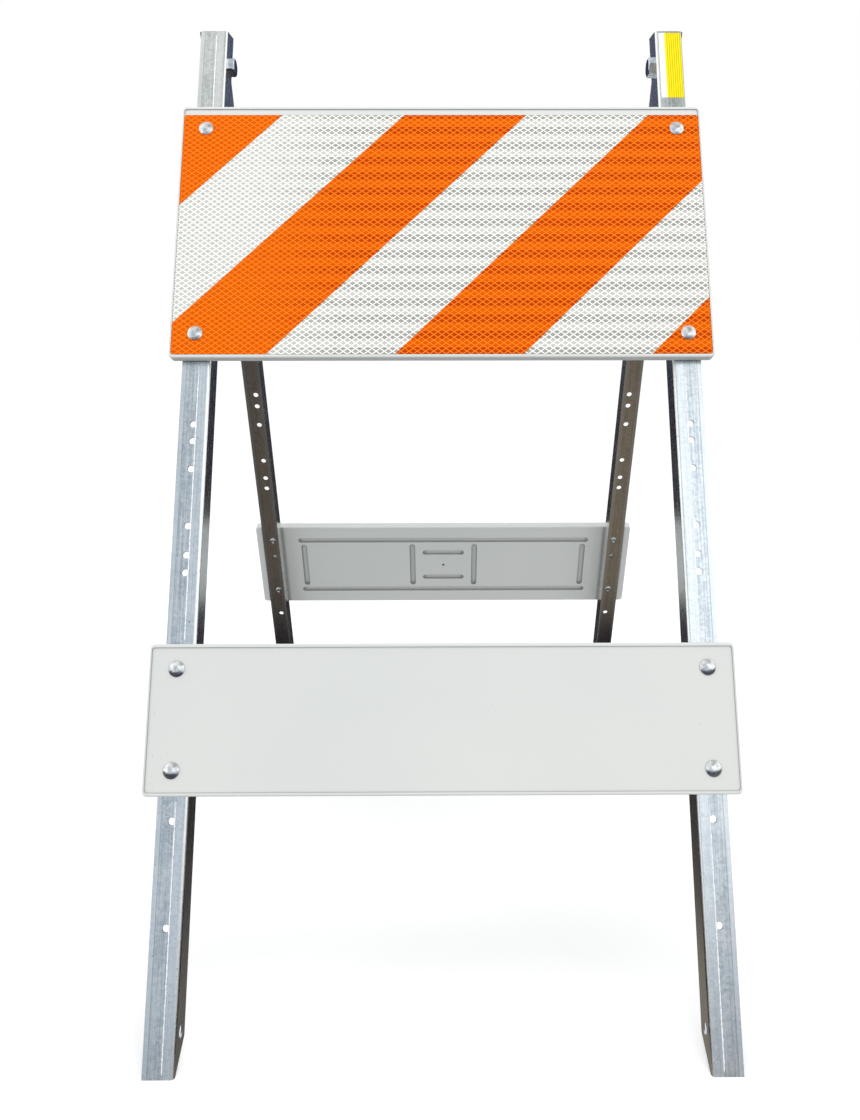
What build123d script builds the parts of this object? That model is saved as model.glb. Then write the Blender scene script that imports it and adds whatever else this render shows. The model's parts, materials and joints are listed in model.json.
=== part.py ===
from build123d import *
import os
from math import cos, radians, sin

# Folding two-rail barricade. Two equal frames of punched steel angle carry hollow
# plastic boards and cross near the top on a pair of pivot bolts.
# Frame: origin on the floor under the pivot axis, +Z up, the front board faces -Y.

INCH = 25.4

# Frames
LEAN = 22.0
LEG_SIDE = 1.25 * INCH
LEG_WALL = 1.9
LEG_LENGTH = 45.375 * INCH
BEND_INNER_RADIUS = 1.6
BEND_OUTER_RADIUS = BEND_INNER_RADIUS + LEG_WALL
PIVOT_DROP = 1.5 * INCH
PIVOT_INSET = 17.5
PIVOT_HOLE_RADIUS = 6.425
REAR_CLIP_DROP = 6.0
FRONT_FLANGE_X = 260.5
FLANGE_GAP = 0.35
REAR_FLANGE_X = FRONT_FLANGE_X + LEG_WALL + FLANGE_GAP

# Punched holes, as distances down from the top end of a leg
HOLE_RADIUS = 3.75
OPEN_HOLE_DROPS = [inches * INCH for inches in (19.5, 20.25, 21.5, 24, 25.25, 26, 31.25, 36, 40)]
UPPER_RIVET_DROPS = [inches * INCH for inches in (5.5, 15.5)]
LOWER_RIVET_DROPS = [inches * INCH for inches in (30, 34)]

# Boards
BOARD_WIDTH = 24 * INCH
BOARD_THICKNESS = 13.5
UPPER_BOARD_HEIGHT = 12.25 * INCH
LOWER_BOARD_HEIGHT = 6 * INCH
BOARD_CORNER = 5.0
BOARD_FRONT_EDGE = 1.8
BOARD_BACK_EDGE = 1.8
LIP_HEIGHT = 1.0
LIP_WIDTH = 3.4
LIP_SIDE_WIDTH = 2.0
SKIN = 2.5
GROOVE_WIDTH = 9.0
GROOVE_DEPTH = 3.5
LONG_GROOVE_HALF = 233.0
LONG_GROOVE_EDGE = 26.0
POST_GROOVE_X = (-229.0, -51.0, 51.0, 229.0)
POST_GROOVE_GAP = 13.0
SHORT_GROOVE_LENGTH = 59.0
BOSS_RADIUS = 11.0
BLOW_HOLE_RADIUS = 2.0

# Sheeting and stripes
SHEET_THICKNESS = 0.5
STRIPE_THICKNESS = 0.25
SHEET_WIDTH = 605.0
SHEET_HEIGHT = 296.0
SHEET_SHIFT = -3.6
SHEET_CORNER = 3.0
STRIPE_RUN = 143.7
FIRST_STRIPE_X = -331.2
STRIPE_COUNT = 4

# Rivets
RIVET_HEAD_RADIUS = 8.25
RIVET_HEAD_HEIGHT = 3.4
RIVET_SHANK_RADIUS = 3.5
RIVET_HOLE_RADIUS = 3.6
RIVET_RIM_HEIGHT = 0.7
RIVET_BORE_RADIUS = 2.2
RIVET_BORE_DEPTH = 3.0
RIVET_TAIL_RADIUS = 5.0
RIVET_TAIL_HEIGHT = 2.4
RIVET_ROLL_INNER = 0.7
RIVET_ROLL_OUTER = 0.5

# Pivot hardware
BOLT_RADIUS = 6.35
HEX_ACROSS_FLATS = 20.64
BOLT_HEAD_HEIGHT = 8.0
BOLT_CROWN_HEIGHT = 1.6
BOLT_CROWN_MARGIN = 0.8
BOLT_LENGTH = 28.0
BOLT_TIP_CHAMFER = 1.0
HEX_TURN = 44.0
NUT_HEIGHT = 11.0
COLLAR_HEIGHT = 3.0
COLLAR_RADIUS = 8.6
WASHER_RADIUS = 13.2
WASHER_BORE_RADIUS = 6.75
WASHER_THICKNESS = 2.0
WASHER_GAP = 0.3

# Label
LABEL_WIDTH = 27.0
LABEL_HEIGHT = 88.0
LABEL_THICKNESS = 0.2
LABEL_CORNER = 1.0
LABEL_TOP_DROP = 2.5
LABEL_SHIFT = 1.4

LEG_BELOW = LEG_LENGTH - PIVOT_DROP
SPARE = 14.0
PIVOT_HEIGHT = LEG_BELOW * cos(radians(LEAN)) - PIVOT_INSET * sin(radians(LEAN))
FRAME_HEIGHT = LEG_LENGTH * cos(radians(LEAN))

FRONT = -1
REAR = 1
LEFT = -1
RIGHT = 1


def outer_face(facing):
    """Outer face of a frame's legs: x across, y up the legs from the pivot, z outward."""
    outward = Vector(0, facing * cos(radians(LEAN)), sin(radians(LEAN)))
    origin = Vector(0, 0, PIVOT_HEIGHT) + outward * PIVOT_INSET
    return Plane(origin=origin, x_dir=(-facing, 0, 0), z_dir=outward)


def side_profile(face):
    """Plane through the pivot axis: x outward from the pivot, y up the legs."""
    origin = Vector(0, 0, PIVOT_HEIGHT)
    return Plane(origin=origin, x_dir=face.z_dir, z_dir=face.z_dir.cross(face.y_dir))


def pivot_plane(x):
    """Plane across the pivot axis at distance x, facing +X."""
    return Plane(origin=(x, 0, PIVOT_HEIGHT), x_dir=(0, 1, 0), z_dir=(1, 0, 0))


def height_on_leg(drop):
    """Height above the pivot, along the leg, of a point at a drop from the leg's top end."""
    return PIVOT_DROP - drop


def angle_leg(face, side, flange_x, clip_top):
    """A steel angle with its side flange at the inner edge, cut flat on the floor.

    side is the leg's side in the face plane's own x direction. The top end is level,
    or with clip_top it is square, with the flange clipped.
    """
    foot_plane = Plane(
        origin=face.origin - face.y_dir * (LEG_BELOW + SPARE),
        x_dir=face.x_dir,
        z_dir=face.y_dir,
    )
    inner = side * flange_x
    flange_back = side * (flange_x + LEG_WALL)
    outer = side * (flange_x + LEG_SIDE)
    hole_x = side * (flange_x + LEG_SIDE / 2)
    flange_end = PIVOT_INSET - LEG_SIDE
    clip_rise = LEG_SIDE - LEG_WALL
    clip_top_height = PIVOT_DROP - REAR_CLIP_DROP

    with BuildPart() as leg:
        with BuildSketch(foot_plane) as section:
            with BuildLine():
                Polyline(
                    (inner, 0),
                    (outer, 0),
                    (outer, LEG_WALL),
                    (flange_back, LEG_WALL),
                    (flange_back, LEG_SIDE),
                    (inner, LEG_SIDE),
                    close=True,
                )
            make_face()
            fillet(section.vertices().sort_by_distance((flange_back, LEG_WALL))[0], BEND_INNER_RADIUS)
            fillet(section.vertices().sort_by_distance((inner, 0))[0], BEND_OUTER_RADIUS)
        extrude(amount=SPARE + LEG_LENGTH + (0 if clip_top else SPARE))

        # The punched holes of the wall
        drops = OPEN_HOLE_DROPS + UPPER_RIVET_DROPS + LOWER_RIVET_DROPS
        with BuildSketch(face):
            with Locations([(hole_x, height_on_leg(drop)) for drop in drops]):
                Circle(HOLE_RADIUS)
        extrude(amount=-2 * LEG_WALL, mode=Mode.SUBTRACT)

        # The flange is clipped at 45 degrees at the foot. On the rear frame its top is clipped
        # too, far enough down to turn clear of the front leg's inner bend.
        profile = side_profile(face)
        with BuildSketch(profile):
            with BuildLine():
                Polyline(
                    (PIVOT_INSET - LEG_WALL, -LEG_BELOW),
                    (PIVOT_INSET - LEG_WALL, -LEG_BELOW - SPARE),
                    (flange_end - SPARE, -LEG_BELOW - SPARE),
                    (flange_end - SPARE, -LEG_BELOW + clip_rise + SPARE),
                    close=True,
                )
            make_face()
            if clip_top:
                with BuildLine():
                    Polyline(
                        (PIVOT_INSET - LEG_WALL + SPARE, clip_top_height + SPARE),
                        (flange_end - SPARE, clip_top_height - clip_rise - SPARE),
                        (flange_end - SPARE, clip_top_height + SPARE),
                        close=True,
                    )
                make_face()
        bend_zone = flange_x + LEG_WALL + BEND_INNER_RADIUS
        extrude(amount=bend_zone, both=True, mode=Mode.SUBTRACT)

        # Pivot-sized holes through the flange at both ends
        mirrored_pivot = -LEG_BELOW + PIVOT_DROP
        with BuildSketch(profile):
            with Locations((0, 0), (0, mirrored_pivot)):
                Circle(PIVOT_HOLE_RADIUS)
        extrude(amount=bend_zone, both=True, mode=Mode.SUBTRACT)

        # The foot rests flat on the floor, and a level top is parallel to it
        split(bisect_by=Plane.XY, keep=Keep.TOP)
        if not clip_top:
            split(bisect_by=Plane.XY.offset(FRAME_HEIGHT), keep=Keep.BOTTOM)
    return leg


def board_plane(face, drop, outward=0.0):
    """Plane on a board's back face, centred on the board, or a distance outward from it."""
    centre = face.from_local_coords((0, height_on_leg(drop), outward))
    return Plane(origin=centre, x_dir=face.x_dir, z_dir=face.z_dir)


def middle_drop(drops):
    """Drop of a board's centre, which is midway between its two rows of rivets."""
    return sum(drops) / 2


def rivet_points(rivet_x, drops, centre_drop=PIVOT_DROP):
    """Rivet places in a plane whose origin is at centre_drop, by default the face plane."""
    return [(side * rivet_x, centre_drop - drop) for side in (LEFT, RIGHT) for drop in drops]


def board(face, height, drops, rivet_x):
    """A hollow moulded board with a lipped front, grooved back and solid rivet bosses."""
    drop = middle_drop(drops)
    back = board_plane(face, drop)
    local_rivets = rivet_points(rivet_x, drops, drop)
    front_skin = BOARD_THICKNESS - LIP_HEIGHT - SKIN
    groove_skin = GROOVE_DEPTH + SKIN
    long_y = height / 2 - LONG_GROOVE_EDGE
    post_height = 2 * (long_y - POST_GROOVE_GAP)
    inner_y = long_y / 2

    def grooves(width, mode):
        with Locations((0, long_y), (0, -long_y)):
            SlotCenterToCenter(2 * LONG_GROOVE_HALF, width, mode=mode)
        with Locations([(x, 0) for x in POST_GROOVE_X]):
            SlotCenterToCenter(post_height, width, rotation=90, mode=mode)
        with Locations((0, inner_y), (0, -inner_y)):
            SlotCenterToCenter(SHORT_GROOVE_LENGTH, width, mode=mode)

    with BuildPart() as panel:
        with BuildSketch(back):
            RectangleRounded(BOARD_WIDTH, height, BOARD_CORNER)
        extrude(amount=BOARD_THICKNESS)
        outward = Axis(back.origin, back.z_dir)
        faces = panel.faces().sort_by(outward)
        fillet(faces[-1].edges(), BOARD_FRONT_EDGE)
        fillet(faces[0].edges(), BOARD_BACK_EDGE)

        # Flat field inside the front lips
        with BuildSketch(board_plane(face, drop, BOARD_THICKNESS)):
            RectangleRounded(BOARD_WIDTH - 2 * LIP_SIDE_WIDTH, height - 2 * LIP_WIDTH, SHEET_CORNER)
        extrude(amount=-LIP_HEIGHT, mode=Mode.SUBTRACT)

        # Grooves moulded into the back
        with BuildSketch(back):
            grooves(GROOVE_WIDTH, Mode.ADD)
        extrude(amount=GROOVE_DEPTH, mode=Mode.SUBTRACT)

        # Hollow: a shallow layer between the grooves and a full layer above them
        with BuildSketch(board_plane(face, drop, SKIN)):
            RectangleRounded(BOARD_WIDTH - 2 * SKIN, height - 2 * SKIN, BOARD_CORNER - SKIN)
            grooves(GROOVE_WIDTH + 2 * SKIN, Mode.SUBTRACT)
            with Locations(local_rivets):
                Circle(BOSS_RADIUS, mode=Mode.SUBTRACT)
        extrude(amount=groove_skin - SKIN, mode=Mode.SUBTRACT)
        with BuildSketch(board_plane(face, drop, groove_skin)):
            RectangleRounded(BOARD_WIDTH - 2 * SKIN, height - 2 * SKIN, BOARD_CORNER - SKIN)
            with Locations(local_rivets):
                Circle(BOSS_RADIUS, mode=Mode.SUBTRACT)
        extrude(amount=front_skin - groove_skin, mode=Mode.SUBTRACT)

        # Blow-moulding vent and rivet holes
        with BuildSketch(back):
            Circle(BLOW_HOLE_RADIUS)
        extrude(amount=front_skin, mode=Mode.SUBTRACT)
        with BuildSketch(back):
            with Locations(local_rivets):
                Circle(RIVET_HOLE_RADIUS)
        extrude(amount=BOARD_THICKNESS, mode=Mode.SUBTRACT)
    return panel


def sheeting(face, drops, rivet_x):
    """White reflective sheeting, stuck in the flat field of an upper board."""
    drop = middle_drop(drops) - SHEET_SHIFT
    local_rivets = rivet_points(rivet_x, drops, drop)
    with BuildPart() as sheet:
        with BuildSketch(board_plane(face, drop, BOARD_THICKNESS - LIP_HEIGHT)):
            RectangleRounded(SHEET_WIDTH, SHEET_HEIGHT, SHEET_CORNER)
            with Locations(local_rivets):
                Circle(RIVET_HOLE_RADIUS, mode=Mode.SUBTRACT)
        extrude(amount=SHEET_THICKNESS)
    return sheet


def stripes(face, drops, rivet_x):
    """Orange film in 45 degree bands, all on the sheeting."""
    drop = middle_drop(drops) - SHEET_SHIFT
    local_rivets = rivet_points(rivet_x, drops, drop)
    top = SHEET_HEIGHT / 2
    film_plane = board_plane(face, drop, BOARD_THICKNESS - LIP_HEIGHT + SHEET_THICKNESS)
    with BuildPart() as film:
        with BuildSketch(film_plane):
            for index in range(STRIPE_COUNT):
                start = FIRST_STRIPE_X + 2 * STRIPE_RUN * index
                with BuildLine():
                    Polyline(
                        (start, top),
                        (start + STRIPE_RUN, top),
                        (start + STRIPE_RUN - SHEET_HEIGHT, -top),
                        (start - SHEET_HEIGHT, -top),
                        close=True,
                    )
                make_face()
            RectangleRounded(SHEET_WIDTH, SHEET_HEIGHT, SHEET_CORNER, mode=Mode.INTERSECT)
            with Locations(local_rivets):
                Circle(RIVET_HOLE_RADIUS, mode=Mode.SUBTRACT)
        extrude(amount=STRIPE_THICKNESS)
    return film


def rivets(face, drops, rivet_x, seat):
    """Semi-tubular rivets: domed head on the board, tail rolled over inside the leg."""
    tail = -LEG_WALL
    top = seat + RIVET_HEAD_HEIGHT
    bore_end = tail + RIVET_BORE_DEPTH
    rim = seat + RIVET_RIM_HEIGHT
    roll_in = tail - RIVET_ROLL_INNER
    roll_out = tail - RIVET_ROLL_OUTER
    roll_middle = (RIVET_BORE_RADIUS + RIVET_TAIL_RADIUS) / 2

    # One rivet with its origin on the leg's outer face and its head towards +Z
    with BuildPart() as rivet:
        with BuildSketch(Plane.XZ):
            with BuildLine():
                Polyline(
                    (0, top),
                    (0, bore_end),
                    (RIVET_BORE_RADIUS, bore_end),
                    (RIVET_BORE_RADIUS, roll_in),
                )
                ThreePointArc(
                    (RIVET_BORE_RADIUS, roll_in),
                    (roll_middle, tail - RIVET_TAIL_HEIGHT),
                    (RIVET_TAIL_RADIUS, roll_out),
                )
                Polyline(
                    (RIVET_TAIL_RADIUS, roll_out),
                    (RIVET_TAIL_RADIUS, tail),
                    (RIVET_SHANK_RADIUS, tail),
                    (RIVET_SHANK_RADIUS, seat),
                    (RIVET_HEAD_RADIUS, seat),
                    (RIVET_HEAD_RADIUS, rim),
                )
                TangentArc((0, top), (RIVET_HEAD_RADIUS, rim), tangent=(1, 0))
            make_face()
        revolve(axis=Axis.Z)

    with BuildPart() as group:
        for x, y in rivet_points(rivet_x, drops):
            seat_plane = Plane(
                origin=face.from_local_coords((x, y, 0)),
                x_dir=face.x_dir,
                z_dir=face.z_dir,
            )
            with Locations(seat_plane.location):
                add(rivet.part)
    return group


def pivot_bolt(side):
    """Hex bolt with its head on the inner face of the front flange."""
    flat = HEX_ACROSS_FLATS / 2
    corner = flat / cos(radians(30))
    seat = side * FRONT_FLANGE_X
    head_end = seat - side * BOLT_HEAD_HEIGHT
    with BuildPart() as bolt:
        with BuildSketch(pivot_plane(seat)):
            RegularPolygon(flat, 6, major_radius=False, rotation=side * HEX_TURN)
        extrude(amount=-side * BOLT_HEAD_HEIGHT)
        # Crowned corners: what lies inside a chamfered round blank
        with BuildSketch(Plane(origin=(0, 0, PIVOT_HEIGHT), x_dir=(1, 0, 0), z_dir=(0, -1, 0))):
            with BuildLine():
                Polyline(
                    (seat, 0),
                    (seat, corner),
                    (head_end + side * BOLT_CROWN_HEIGHT, corner),
                    (head_end, flat - BOLT_CROWN_MARGIN),
                    (head_end, 0),
                    close=True,
                )
            make_face()
        revolve(axis=Axis((0, 0, PIVOT_HEIGHT), (1, 0, 0)), mode=Mode.INTERSECT)
        with BuildSketch(pivot_plane(seat)):
            Circle(BOLT_RADIUS)
        extrude(amount=side * BOLT_LENGTH)
        shank_end = bolt.faces().sort_by(Axis.X)[-1 if side == RIGHT else 0]
        chamfer(shank_end.edges(), BOLT_TIP_CHAMFER)
    return bolt


def pivot_washer(side):
    """Flat washer between the rear flange and the lock nut."""
    start = REAR_FLANGE_X + LEG_WALL + WASHER_GAP
    with BuildPart() as washer:
        with BuildSketch(pivot_plane(side * start)):
            Circle(WASHER_RADIUS)
            Circle(WASHER_BORE_RADIUS, mode=Mode.SUBTRACT)
        extrude(amount=side * WASHER_THICKNESS)
    return washer


def pivot_nut(side):
    """Lock nut with a round collar for its insert."""
    start = REAR_FLANGE_X + LEG_WALL + WASHER_GAP + WASHER_THICKNESS
    with BuildPart() as nut:
        with BuildSketch(pivot_plane(side * start)):
            RegularPolygon(HEX_ACROSS_FLATS / 2, 6, major_radius=False)
        extrude(amount=side * NUT_HEIGHT)
        with BuildSketch(pivot_plane(side * (start + NUT_HEIGHT))):
            Circle(COLLAR_RADIUS)
        extrude(amount=side * COLLAR_HEIGHT)
        with BuildSketch(pivot_plane(side * start)):
            Circle(BOLT_RADIUS)
        extrude(amount=side * (NUT_HEIGHT + COLLAR_HEIGHT), mode=Mode.SUBTRACT)
    return nut


def label(face):
    """Film label near the top of the right front leg."""
    leg_centre = FRONT_FLANGE_X + LEG_SIDE / 2
    drop = LABEL_TOP_DROP + LABEL_HEIGHT / 2
    centre = face.from_local_coords((leg_centre + LABEL_SHIFT, height_on_leg(drop), 0))
    with BuildPart() as film:
        with BuildSketch(Plane(origin=centre, x_dir=face.x_dir, z_dir=face.z_dir)):
            RectangleRounded(LABEL_WIDTH, LABEL_HEIGHT, LABEL_CORNER)
        extrude(amount=LABEL_THICKNESS)
    return film


def save(piece, name):
    """Label a finished piece and write its STEP file."""
    piece.part.label = name
    export_step(piece.part, f"parts/{name}.step")


os.makedirs("parts", exist_ok=True)

for facing, frame in ((FRONT, "front"), (REAR, "rear")):
    legs_face = outer_face(facing)
    flange_x = FRONT_FLANGE_X if facing == FRONT else REAR_FLANGE_X
    rivet_x = flange_x + LEG_SIDE / 2
    for side, side_name in ((LEFT, "left"), (RIGHT, "right")):
        leg = angle_leg(legs_face, -facing * side, flange_x, clip_top=facing == REAR)
        save(leg, f"{frame}_leg_{side_name}")

    upper = board(legs_face, UPPER_BOARD_HEIGHT, UPPER_RIVET_DROPS, rivet_x)
    save(upper, f"upper_{frame}_panel")
    lower = board(legs_face, LOWER_BOARD_HEIGHT, LOWER_RIVET_DROPS, rivet_x)
    save(lower, f"lower_{frame}_panel")
    sheet = sheeting(legs_face, UPPER_RIVET_DROPS, rivet_x)
    save(sheet, f"{frame}_sheeting")
    film = stripes(legs_face, UPPER_RIVET_DROPS, rivet_x)
    save(film, f"{frame}_stripes")

    lower_seat = BOARD_THICKNESS - LIP_HEIGHT
    upper_seat = lower_seat + SHEET_THICKNESS + STRIPE_THICKNESS
    upper_rivets = rivets(legs_face, UPPER_RIVET_DROPS, rivet_x, upper_seat)
    save(upper_rivets, f"rivets_upper_{frame}")
    lower_rivets = rivets(legs_face, LOWER_RIVET_DROPS, rivet_x, lower_seat)
    save(lower_rivets, f"rivets_lower_{frame}")

for side, side_name in ((LEFT, "left"), (RIGHT, "right")):
    bolt = pivot_bolt(side)
    save(bolt, f"pivot_bolt_{side_name}")
    washer = pivot_washer(side)
    save(washer, f"pivot_washer_{side_name}")
    nut = pivot_nut(side)
    save(nut, f"pivot_nut_{side_name}")

leg_label = label(outer_face(FRONT))
save(leg_label, "leg_label")

print("pivot axis height (mm):", round(PIVOT_HEIGHT, 3))
print("fold range (deg): 0 to", 2 * LEAN)
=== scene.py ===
"""Looks of the folding two-rail barricade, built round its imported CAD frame.

Lengths are metres in the frame's own axes: +Z up, the front boards face -Y.
"""
import math
import random
import json

import bmesh
import bpy
from mathutils import Matrix, Vector


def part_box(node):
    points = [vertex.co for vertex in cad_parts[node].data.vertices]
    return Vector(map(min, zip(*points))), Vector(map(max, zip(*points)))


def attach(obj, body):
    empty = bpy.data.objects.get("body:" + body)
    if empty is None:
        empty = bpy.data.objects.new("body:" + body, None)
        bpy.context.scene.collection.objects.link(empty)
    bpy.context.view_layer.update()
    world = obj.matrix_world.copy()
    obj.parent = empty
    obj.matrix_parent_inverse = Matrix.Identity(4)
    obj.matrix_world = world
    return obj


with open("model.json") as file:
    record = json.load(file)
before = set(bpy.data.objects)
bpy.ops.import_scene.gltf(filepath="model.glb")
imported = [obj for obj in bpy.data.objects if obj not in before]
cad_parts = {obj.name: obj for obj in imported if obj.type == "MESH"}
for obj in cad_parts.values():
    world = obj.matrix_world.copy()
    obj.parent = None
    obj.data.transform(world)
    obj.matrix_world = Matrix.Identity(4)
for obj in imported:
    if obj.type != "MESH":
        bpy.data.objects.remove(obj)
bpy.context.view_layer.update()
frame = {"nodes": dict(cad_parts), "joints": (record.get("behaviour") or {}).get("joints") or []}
nodes = frame["nodes"]

# Driving dimensions of the frame
LEAN = math.radians(22.0)
PIVOT_HEIGHT = frame["joints"][0]["pos_m"][2]
LEG_SIDE = 0.03175
LEG_INNER_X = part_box("front_leg_right")[0].x

# Leg surface, measured across the wall from its bend: the painted pale sheen beside the bend ends
# at the zinc bead, and a strip of painted highlight runs along the outer edge
STRIP_WIDTH = 0.005
STRIP_BLUR = 0.0002
BEND_START = 0.0012
BEND_END = 0.0036
PALE_BLUR = 0.002
HOLE_ZONE_START = 0.0038
HOLE_ZONE_MARGIN = 0.0022
HOLE_ZONE_BLUR = 0.0004

# Label
LABEL_STRIP = 0.007
LABEL_BAR_PITCH = 0.0026
LABEL_BAR_BREAKS = 130.0
LABEL_BLUR = 0.0002
LABEL_MARGIN = 0.0010

# Runs of zinc on the front legs
BEAD_SEED = 37
BEAD_WOBBLE = 0.00012
BEAD_OFFSET = 0.0127
BEAD_WIDTH = 0.0017
BEAD_HEIGHT = 0.0004
BEAD_STEP = 0.0016
BEAD_SIDES = 8
BEAD_MARGIN = 0.004

# Camera
SENSOR = 36.0
FOCAL = 0.8632 * SENSOR
CAMERA_PLACE = (0.0026, -1.2564, 0.7348)
CAMERA_YAW = math.radians(0.342)
CAMERA_PITCH = math.radians(-9.899)
CAMERA_ROLL = math.radians(-0.072)
CAMERA_SHIFT = (-0.0182, -0.0734)


def srgb(red, green, blue):
    """Linear colour with alpha from display values of 0 to 255."""
    def linear(value):
        share = value / 255
        return share / 12.92 if share <= 0.04045 else ((share + 0.055) / 1.055) ** 2.4
    return (linear(red), linear(green), linear(blue), 1.0)


class Graph:
    """A shader's node tree, with a short call for each kind of node used here."""

    def __init__(self, tree):
        self.tree = tree
        self.tree.nodes.clear()

    def add(self, kind, inputs=None, **settings):
        node = self.tree.nodes.new("ShaderNode" + kind)
        for name, value in settings.items():
            setattr(node, name, value)
        for name, value in (inputs or {}).items():
            self.feed(node.inputs[name], value)
        return node

    def feed(self, socket, value):
        """Links a socket to another, or sets its constant."""
        if isinstance(value, bpy.types.NodeSocket):
            self.tree.links.new(value, socket)
        else:
            socket.default_value = value

    def math(self, operation, a, b=0.0, clamp=False):
        return self.add("Math", {0: a, 1: b}, operation=operation, use_clamp=clamp).outputs[0]

    def dot(self, a, b):
        return self.add("VectorMath", {0: a, 1: b}, operation="DOT_PRODUCT").outputs["Value"]

    def vector(self, x, y, z):
        return self.add("CombineXYZ", {0: x, 1: y, 2: z}).outputs[0]

    def ramp(self, value, low, high, out_low=0.0, out_high=1.0):
        """Smooth step from out_low at low to out_high at high."""
        inputs = {"Value": value, "From Min": low, "From Max": high, "To Min": out_low, "To Max": out_high}
        return self.add("MapRange", inputs, interpolation_type="SMOOTHSTEP").outputs[0]

    def mix(self, share, a, b, blend="MIX"):
        """Colour mix: sockets 0, 6 and 7 are the factor and the two colours."""
        node = self.add("Mix", {0: share, 6: a, 7: b}, data_type="RGBA", blend_type=blend)
        return node.outputs[2]

    def noise(self, vector, scale, detail=3.0, roughness=0.5):
        inputs = {"Vector": vector, "Scale": scale, "Detail": detail, "Roughness": roughness}
        return self.add("TexNoise", inputs).outputs[0]

    def place(self):
        """Point of the surface at rest, in the frame's axes."""
        return self.add("TexCoord").outputs["Object"]

    def bump(self, height, strength, distance):
        inputs = {"Height": height, "Strength": strength, "Distance": distance}
        return self.add("Bump", inputs).outputs[0]


def material(name):
    """New material and its graph."""
    made = bpy.data.materials.new(name)
    made.use_nodes = True
    return made, Graph(made.node_tree)


def surface(graph, colour, roughness, metallic=0.0, normal=None, **constants):
    """Ends a graph in a principled shader. Constants are set on its own sockets."""
    inputs = {"Base Color": colour, "Roughness": roughness, "Metallic": metallic, **constants}
    if normal is not None:
        inputs["Normal"] = normal
    shader = graph.add("BsdfPrincipled", inputs)
    graph.add("OutputMaterial", {"Surface": shader.outputs[0]})


def leaning_axes(facing):
    """Directions up and outward along a frame. facing is -1 for the front frame, 1 for the rear."""
    up = Vector((0, -facing * math.sin(LEAN), math.cos(LEAN)))
    outward = Vector((0, facing * math.cos(LEAN), math.sin(LEAN)))
    return up, outward


def leaning_place(graph, facing):
    """(x, height, depth) of the surface: across, up the frame from the pivot, and outward."""
    up, outward = leaning_axes(facing)
    pivot = Vector((0, 0, PIVOT_HEIGHT))
    point = graph.place()
    x = graph.add("SeparateXYZ", {0: point}).outputs[0]
    height = graph.math("SUBTRACT", graph.dot(point, tuple(up)), pivot.dot(up))
    depth = graph.math("SUBTRACT", graph.dot(point, tuple(outward)), pivot.dot(outward))
    return x, height, depth


def galvanised(name, leg, facing, dark, light):
    """Hot-dip galvanised steel: fine grain and drawing streaks, with painted highlights on the outer strip
    and the bend, painted sheen beside the bend and painted shade in the holes.
    """
    made, g = material(name)
    x, height, depth = leaning_place(g, facing)
    point = g.place()
    spangle = g.add("TexVoronoi", {"Vector": point, "Scale": 330.0, "Randomness": 1.0})
    tone = g.add("SeparateColor", {0: spangle.outputs["Color"]}).outputs[0]
    cloud = g.noise(point, 26.0, 5.0, 0.62)
    grit = g.noise(point, 1500.0, 3.0, 0.7)
    scales = ((x, 520.0), (height, 9.0), (depth, 520.0))
    lengthwise = g.vector(*(g.math("MULTIPLY", place, scale) for place, scale in scales))
    streaks = g.noise(lengthwise, 1.0, 4.0, 0.65)
    share = g.math("ADD", g.math("MULTIPLY", tone, 0.10), g.math("MULTIPLY", cloud, 0.26))
    share = g.math("ADD", share, g.math("MULTIPLY", streaks, 0.54))
    share = g.math("ADD", share, g.math("MULTIPLY", grit, 0.26))
    colour = g.mix(g.ramp(share, 0.42, 0.74), dark, light)

    # Painted highlight: a pale strip along the outer edge, with a painted shade line beside it
    across = g.math("SUBTRACT", g.math("ABSOLUTE", x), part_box(leg)[0].x)
    strip_edge = LEG_SIDE - STRIP_WIDTH
    strip = g.ramp(across, strip_edge - STRIP_BLUR, strip_edge + STRIP_BLUR)
    colour = g.mix(g.math("MULTIPLY", strip, 0.55), colour, srgb(232, 238, 244))
    line = g.math("ABSOLUTE", g.math("SUBTRACT", across, strip_edge))
    colour = g.mix(g.ramp(line, 0.0001, 0.0006, 0.5, 0.0), colour, srgb(128, 138, 148))

    # Painted sheen: the wall is paler beside the bend, and the bend itself gets a painted highlight
    bend_side_sheen = g.ramp(across, BEAD_OFFSET, BEAD_OFFSET - PALE_BLUR)
    colour = g.mix(g.math("MULTIPLY", bend_side_sheen, 0.40), colour, srgb(236, 243, 250))
    bend_highlight = g.ramp(across, BEND_END, BEND_START)
    colour = g.mix(g.math("MULTIPLY", bend_highlight, 0.50), colour, srgb(252, 252, 250))

    # Painted shade: the punched walls of the holes are painted dark
    facing_out = g.dot(g.add("TexCoord").outputs["Normal"], tuple(leaning_axes(facing)[1]))
    hole_wall_shade = g.ramp(g.math("ABSOLUTE", facing_out), 0.6, 0.3)
    zone_end = LEG_SIDE - HOLE_ZONE_MARGIN
    past_bend = g.ramp(across, HOLE_ZONE_START, HOLE_ZONE_START + HOLE_ZONE_BLUR)
    before_edge = g.ramp(across, zone_end, zone_end - HOLE_ZONE_BLUR)
    hole_wall_shade = g.math("MULTIPLY", g.math("MULTIPLY", hole_wall_shade, past_bend), before_edge)
    colour = g.mix(hole_wall_shade, colour, srgb(52, 54, 60))

    # Dark specks where the zinc has pitted
    pits = g.noise(point, 310.0, 2.0, 0.45)
    colour = g.mix(g.ramp(pits, 0.70, 0.78, 0.0, 0.55), colour, srgb(112, 118, 124))
    roughness = g.math("ADD", g.math("MULTIPLY", cloud, 0.14), g.math("MULTIPLY", streaks, 0.12))
    roughness = g.math("ADD", roughness, 0.13)
    relief = g.math("ADD", g.math("MULTIPLY", grit, 0.6), g.math("MULTIPLY", streaks, 0.8))
    surface(g, colour, roughness, metallic=1.0, normal=g.bump(relief, 0.30, 0.0002))
    return made


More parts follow.
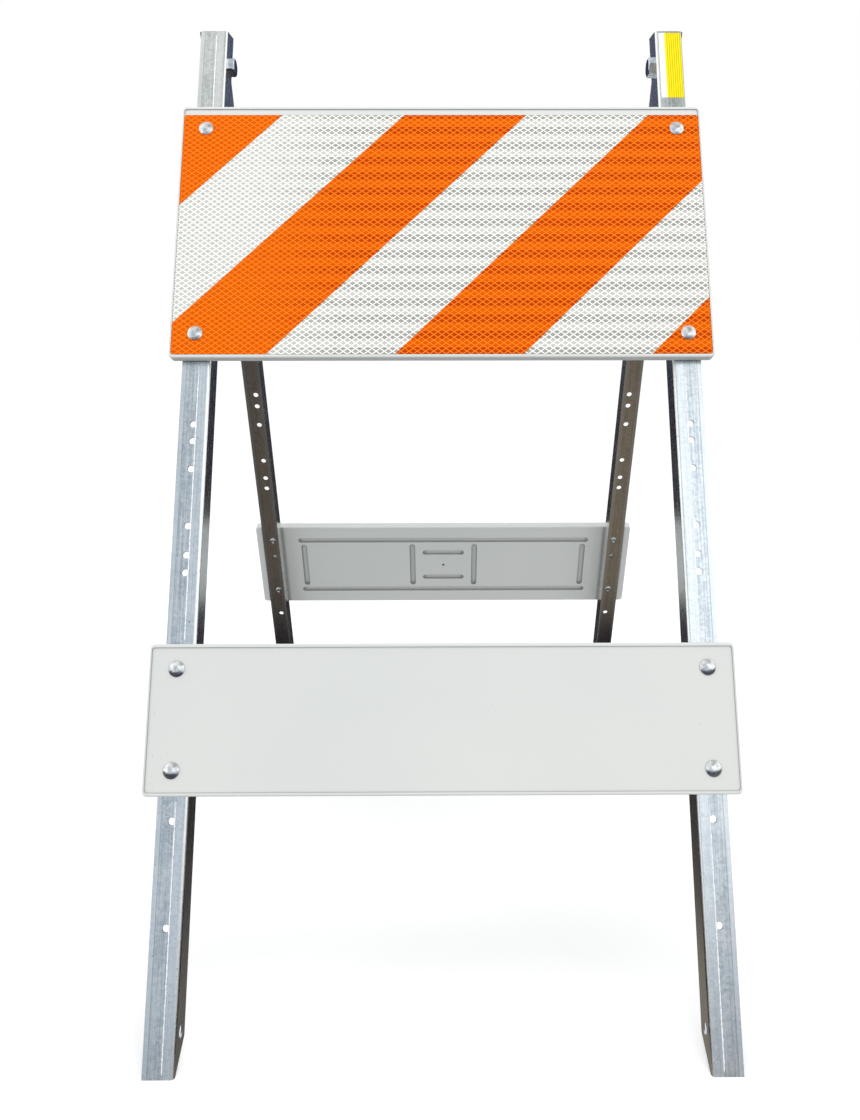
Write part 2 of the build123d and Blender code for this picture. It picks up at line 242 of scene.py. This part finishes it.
def moulded(name, dark, light):
    """Moulded plastic: faint flow marks, a fine skin and small scuffs, more of them at the ends, and painted
    shade in grooves and creases.
    """
    made, g = material(name)
    point = g.place()
    flow = g.noise(point, 3.0, 3.0, 0.5)
    skin = g.noise(point, 650.0, 2.0, 0.5)
    colour = g.mix(g.ramp(flow, 0.3, 0.7), dark, light)
    x = g.add("SeparateXYZ", {0: point}).outputs[0]
    ends = g.ramp(g.math("ABSOLUTE", x), 0.27, 0.305, 0.0, 0.06)
    specks = g.math("ADD", g.noise(point, 420.0, 2.0, 0.4), ends)
    colour = g.mix(g.ramp(specks, 0.75, 0.81, 0.0, 0.40), colour, srgb(126, 126, 122))
    # Painted shade: ambient occlusion darkens the colour in the grooves and creases
    crease_shade = g.add("AmbientOcclusion", {"Distance": 0.007}, samples=8).outputs["AO"]
    colour = g.mix(g.ramp(crease_shade, 0.55, 0.95, 0.55, 0.0), colour, srgb(96, 98, 102))
    roughness = g.math("ADD", g.math("MULTIPLY", flow, 0.15), 0.36)
    surface(g, colour, roughness, normal=g.bump(skin, 0.08, 0.0002), **{"Specular IOR Level": 0.35})
    return made


CELL_WIDTH = 0.0092
CELL_HEIGHT = 0.0065
BAND_PERIOD = 3 * CELL_HEIGHT
BAND_SHIFT = 0.864


def prismatic(name, facing, seal, bright, dark):
    """Prismatic sheeting: a diamond lattice of seals over cells in bright and dark bands."""
    made, g = material(name)
    x, height, _ = leaning_place(g, facing)
    across = g.math("DIVIDE", x, CELL_WIDTH)
    up = g.math("DIVIDE", height, CELL_HEIGHT)
    lines = []
    cells = []
    for operation in ("ADD", "SUBTRACT"):
        phase = g.math(operation, across, up)
        lines.append(g.math("PINGPONG", phase, 0.5))
        cells.append(g.math("FLOOR", phase))
    edge = g.math("MINIMUM", *lines)
    seal_share = g.ramp(edge, 0.085, 0.125, 1.0, 0.0)
    band = g.math("PINGPONG", g.math("ADD", g.math("DIVIDE", height, BAND_PERIOD), BAND_SHIFT), 0.5)
    band = g.ramp(band, 0.22, 0.28)
    fade = g.ramp(x, -0.24, -0.08, 0.06, 1.0)
    random_cell = g.add("TexWhiteNoise", {"Vector": g.vector(cells[0], cells[1], 0.0)}).outputs[0]
    share = g.math("MULTIPLY", band, fade)
    share = g.math("ADD", share, g.math("MULTIPLY", g.math("SUBTRACT", random_cell, 0.5), 0.30), clamp=True)
    colour = g.mix(share, bright, dark)
    colour = g.mix(seal_share, colour, seal)
    surface(g, colour, 0.25, normal=g.bump(edge, 0.05, 0.0001), **{"Specular IOR Level": 0.03})
    return made


def polished(name, dark, light, rough, relief=0.15, metallic=1.0):
    """Bright plated or aluminium hardware with fine tool marks and a slightly uneven skin."""
    made, g = material(name)
    point = g.place()
    cloud = g.noise(point, 160.0, 4.0, 0.6)
    fine = g.noise(point, 1400.0, 2.0, 0.5)
    colour = g.mix(g.ramp(cloud, 0.3, 0.7), dark, light)
    roughness = g.math("ADD", g.math("MULTIPLY", cloud, 0.10), rough)
    height = g.math("ADD", g.math("MULTIPLY", fine, 0.2), cloud)
    surface(g, colour, roughness, metallic=metallic, normal=g.bump(height, relief, 0.0006))
    return made


def painted_highlight_run(name, dark, light):
    """Near-white painted highlight on a run of zinc left on the steel, with a frosty grain."""
    made, g = material(name)
    point = g.place()
    frost = g.noise(point, 700.0, 3.0, 0.6)
    colour = g.mix(g.ramp(frost, 0.30, 0.60), dark, light)
    surface(g, colour, 0.45, metallic=0.15, normal=g.bump(frost, 0.3, 0.0002))
    return made


def label_film(name):
    """Two-field label: a white strip beside a yellow field with plain grey bars."""
    made, g = material(name)
    x, height, _ = leaning_place(g, -1)
    split_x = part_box("leg_label")[0].x + LABEL_STRIP
    on_yellow = g.ramp(x, split_x - LABEL_BLUR, split_x + LABEL_BLUR)
    colour = g.mix(on_yellow, srgb(244, 244, 234), srgb(247, 226, 8))
    bar = g.ramp(g.math("PINGPONG", g.math("DIVIDE", x, LABEL_BAR_PITCH), 0.5), 0.34, 0.40)
    breaks = g.noise(g.vector(0.0, g.math("MULTIPLY", height, LABEL_BAR_BREAKS), 0.0), 1.0, 2.0)
    broken = g.ramp(breaks, 0.30, 0.34)
    start = split_x + LABEL_MARGIN
    inside = g.ramp(x, start, start + 2 * LABEL_BLUR)
    share = g.math("MULTIPLY", g.math("MULTIPLY", bar, broken), inside)
    colour = g.mix(g.math("MULTIPLY", share, 0.55), colour, srgb(70, 66, 30))
    surface(g, colour, 0.35, **{"Specular IOR Level": 0.12})
    return made


# Same galvanised steel front and rear: the cool front tones and warm rear tones are painted reflection tints
STEEL = {
    "front": galvanised("galvanised_front", "front_leg_right", -1, srgb(170, 181, 190), srgb(224, 231, 236)),
    "rear": galvanised("galvanised_rear", "rear_leg_right", 1, srgb(196, 190, 184), srgb(232, 226, 218)),
}
PLASTIC = moulded("moulded_white", srgb(211, 214, 211), srgb(216, 218, 214))
RIVET_TONES = (srgb(190, 196, 205), srgb(240, 243, 246))
RIVET = polished("rivet_aluminium", *RIVET_TONES, rough=0.04, relief=0.9, metallic=0.9)
ZINC = polished("zinc_plate", srgb(186, 192, 200), srgb(236, 240, 244), rough=0.10)
# Near-white finish of the zinc runs: a painted highlight along their ridges
BEAD_PAINTED_HIGHLIGHT = painted_highlight_run("zinc_bead_with_painted_highlight", srgb(226, 232, 238), srgb(255, 255, 255))
LABEL = label_film("label_film")
SIDES = {"front": -1, "rear": 1}
WHITE_TONES = (srgb(253, 253, 248), srgb(200, 202, 194), srgb(158, 159, 152))
ORANGE_TONES = (srgb(244, 128, 30), srgb(222, 90, 0), srgb(188, 60, 0))
SHEETS = {side: prismatic(f"white_sheeting_{side}", facing, *WHITE_TONES) for side, facing in SIDES.items()}
FILMS = {side: prismatic(f"orange_film_{side}", facing, *ORANGE_TONES) for side, facing in SIDES.items()}


def dress(node, finish):
    """Gives a CAD node its finish."""
    node.data.materials.clear()
    node.data.materials.append(finish)


for name, node in nodes.items():
    side = "rear" if "rear" in name else "front"
    if "leg_label" in name:
        dress(node, LABEL)
    elif "_leg_" in name:
        dress(node, STEEL[side])
    elif name.endswith("panel"):
        dress(node, PLASTIC)
    elif name.endswith("sheeting"):
        dress(node, SHEETS[side])
    elif name.endswith("stripes"):
        dress(node, FILMS[side])
    elif name.startswith("rivets"):
        dress(node, RIVET)
    else:
        dress(node, ZINC)


def reach(name, direction):
    """Lowest and highest place of a node along a direction."""
    places = [direction.dot(vertex.co) for vertex in nodes[name].data.vertices]
    return min(places), max(places)


def zinc_bead_with_painted_highlight(name, x, start, end, face):
    """A thin irregular run of zinc up a front leg, half sunk in its face, as a closed tube.

    start and end are heights along the leg, and face is how far out the leg's face lies.
    """
    up, outward = leaning_axes(-1)
    sideways = Vector((1, 0, 0))
    shape = bmesh.new()
    rings = []
    count = int((end - start) / BEAD_STEP)
    for index in range(count + 1):
        swell = random.uniform(0.45, 1.0) if 0 < index < count else 0.2
        wobble = random.uniform(-BEAD_WOBBLE, BEAD_WOBBLE)
        centre = sideways * (x + wobble) + up * (start + index * BEAD_STEP)
        ring = []
        for corner in range(BEAD_SIDES):
            turn = math.tau * corner / BEAD_SIDES
            across = math.cos(turn) * BEAD_WIDTH / 2 * swell
            proud = math.sin(turn) * BEAD_HEIGHT * swell
            ring.append(shape.verts.new(centre + sideways * across + outward * (face + proud)))
        rings.append(ring)
    for below, above in zip(rings, rings[1:]):
        for corner in range(BEAD_SIDES):
            after = (corner + 1) % BEAD_SIDES
            shape.faces.new((below[corner], below[after], above[after], above[corner]))
    shape.faces.new(rings[0][::-1])
    shape.faces.new(rings[-1])
    bmesh.ops.recalc_face_normals(shape, faces=shape.faces)
    mesh = bpy.data.meshes.new(name)
    shape.to_mesh(mesh)
    shape.free()
    mesh.polygons.foreach_set("use_smooth", [True] * len(mesh.polygons))
    # The run's near-white finish is a painted highlight along its ridge
    mesh.materials.append(BEAD_PAINTED_HIGHLIGHT)
    piece = bpy.data.objects.new(name, mesh)
    bpy.context.scene.collection.objects.link(piece)
    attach(piece, "front_frame")


def make_zinc_beads():
    """A run of zinc on each stretch of front leg that the boards and the label leave bare."""
    up, outward = leaning_axes(-1)
    upper = reach("upper_front_panel", up)
    lower = reach("lower_front_panel", up)
    face = reach("front_leg_left", outward)[1]
    foot = -face * outward.z / up.z
    top = (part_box("front_leg_left")[1].z - face * outward.z) / up.z
    stretches = {"low": (foot, lower[0]), "middle": (lower[1], upper[0]), "top": (upper[1], top)}
    for side, sign in (("left", -1), ("right", 1)):
        x = sign * (LEG_INNER_X + BEAD_OFFSET)
        for stretch, (start, end) in stretches.items():
            covered_by_label = side == "right" and stretch == "top"
            if not covered_by_label:
                zinc_bead_with_painted_highlight(f"zinc_bead_{side}_{stretch}", x, start + BEAD_MARGIN, end - BEAD_MARGIN, face)


def make_camera():
    """Camera at the height and angle from which the barricade is seen."""
    data = bpy.data.cameras.new("camera")
    data.sensor_width = SENSOR
    data.lens = FOCAL
    data.shift_x, data.shift_y = CAMERA_SHIFT
    camera = bpy.data.objects.new("camera", data)
    bpy.context.scene.collection.objects.link(camera)
    turn = Matrix.Rotation(-CAMERA_YAW, 4, "Z") @ Matrix.Rotation(math.pi / 2 + CAMERA_PITCH, 4, "X")
    camera.matrix_world = Matrix.Translation(CAMERA_PLACE) @ turn @ Matrix.Rotation(CAMERA_ROLL, 4, "Z")
    bpy.context.scene.camera = camera


def plane(name, size, place, turn, finish):
    """A flat square, facing its local +Z."""
    mesh = bpy.data.meshes.new(name)
    half = size / 2
    corners = [(-half, -half, 0), (half, -half, 0), (half, half, 0), (-half, half, 0)]
    mesh.from_pydata(corners, [], [(0, 1, 2, 3)])
    mesh.materials.append(finish)
    made = bpy.data.objects.new(name, mesh)
    made.matrix_world = Matrix.Translation(place) @ turn
    bpy.context.scene.collection.objects.link(made)
    return made


def make_floor():
    """Pale floor for the camera, and a darker one that only reflections and soft light see."""
    pale, g = material("pale_floor")
    tone = g.noise(g.place(), 2.0, 2.0)
    lift = {"Specular IOR Level": 0.0, "Emission Color": (1.0, 1.0, 1.0, 1.0), "Emission Strength": 0.07}
    surface(g, g.mix(tone, srgb(252, 252, 252), srgb(255, 255, 255)), 0.9, **lift)
    floor = plane("floor", 40.0, (0, 0, 0), Matrix.Identity(4), pale)
    floor.visible_glossy = False
    floor.visible_diffuse = False

    dark, g = material("reflected_ground")
    point = g.place()
    x, y, _ = g.add("SeparateXYZ", {0: point}).outputs
    # Under the object, then its middle, the far front, the distance and behind it
    colour = g.mix(g.ramp(x, -0.15, 0.15), srgb(96, 91, 86), srgb(126, 119, 108))
    colour = g.mix(g.ramp(g.math("ABSOLUTE", x), 0.22, 0.17), colour, srgb(34, 33, 36))
    colour = g.mix(g.ramp(y, -0.50, -0.75), colour, srgb(40, 44, 60))
    colour = g.mix(g.ramp(y, -2.0, -3.0), colour, srgb(168, 166, 158))
    colour = g.mix(g.ramp(y, 0.14, 0.30), colour, srgb(34, 34, 42))
    diffuse = g.add("LightPath").outputs["Is Diffuse Ray"]
    colour = g.mix(diffuse, colour, srgb(214, 217, 221))
    glow = g.add("Emission", {"Color": colour, "Strength": 1.0})
    g.add("OutputMaterial", {"Surface": glow.outputs[0]})
    ground = plane("reflected_ground", 40.0, (0, 0, -0.002), Matrix.Identity(4), dark)
    ground.visible_camera = False
    ground.visible_shadow = False
    ground.visible_transmission = False


def make_world():
    """White to the camera, brighter in front for soft light, light and dark for reflections."""
    world = bpy.data.worlds.new("studio")
    bpy.context.scene.world = world
    world.use_nodes = True
    g = Graph(world.node_tree)
    direction = g.add("TexCoord").outputs["Generated"]
    x, y, z = g.add("SeparateXYZ", {0: direction}).outputs
    left = g.mix(g.ramp(z, 0.05, 0.25), (0.80, 0.85, 0.89, 1.0), (0.66, 0.70, 0.74, 1.0))
    left = g.mix(g.ramp(z, 0.62, 0.82), left, (1.02, 0.98, 0.88, 1.0))
    right = g.mix(g.ramp(z, 0.02, 0.34), (0.48, 0.50, 0.52, 1.0), (1.40, 1.42, 1.42, 1.0))
    right = g.mix(g.ramp(z, 0.34, 0.56), right, (1.55, 1.57, 1.58, 1.0))
    right = g.mix(g.ramp(z, 0.56, 0.80), right, (0.50, 0.50, 0.45, 1.0))
    ahead = g.mix(g.ramp(x, -0.20, 0.20), left, right)
    behind = g.mix(g.ramp(z, 0.26, 0.50), (0.034, 0.047, 0.100, 1.0), (0.80, 0.84, 0.88, 1.0))
    mirrored = g.mix(g.ramp(y, -0.35, 0.30), ahead, behind)
    beside = g.ramp(g.math("ABSOLUTE", x), 0.50, 0.72)
    mirrored = g.mix(beside, mirrored, (1.30, 1.28, 1.20, 1.0))
    path = g.add("LightPath")
    soft = g.mix(g.ramp(y, -0.9, 0.6), (1.26, 1.26, 1.27, 1.0), (0.78, 0.78, 0.79, 1.0))
    colour = g.mix(path.outputs["Is Diffuse Ray"], (1.0, 1.0, 1.0, 1.0), soft)
    colour = g.mix(path.outputs["Is Glossy Ray"], colour, mirrored)
    light = g.add("Background", {"Color": colour, "Strength": 1.0})
    g.add("OutputWorld", {"Surface": light.outputs[0]})


def area_light(name, place, aim, size, power, colour=(1.0, 1.0, 1.0)):
    """Soft rectangular light, aimed at a point."""
    data = bpy.data.lights.new(name, "AREA")
    data.shape = "RECTANGLE"
    data.size, data.size_y = size
    data.energy = power
    data.color = colour
    made = bpy.data.objects.new(name, data)
    made.location = place
    made.rotation_mode = "QUATERNION"
    made.rotation_quaternion = (Vector(aim) - Vector(place)).to_track_quat("-Z", "Y")
    made.visible_glossy = False
    bpy.context.scene.collection.objects.link(made)
    return made


make_camera()
random.seed(BEAD_SEED)
make_zinc_beads()
make_floor()
make_world()
area_light("key", (0.6, -0.9, 3.0), (0, 0, 0.5), (1.6, 1.2), 16.0)
area_light("fill", (-2.2, -0.6, 2.0), (0, 0, 0.6), (1.4, 1.4), 8.0)
bpy.context.scene.view_settings.view_transform = "Standard"
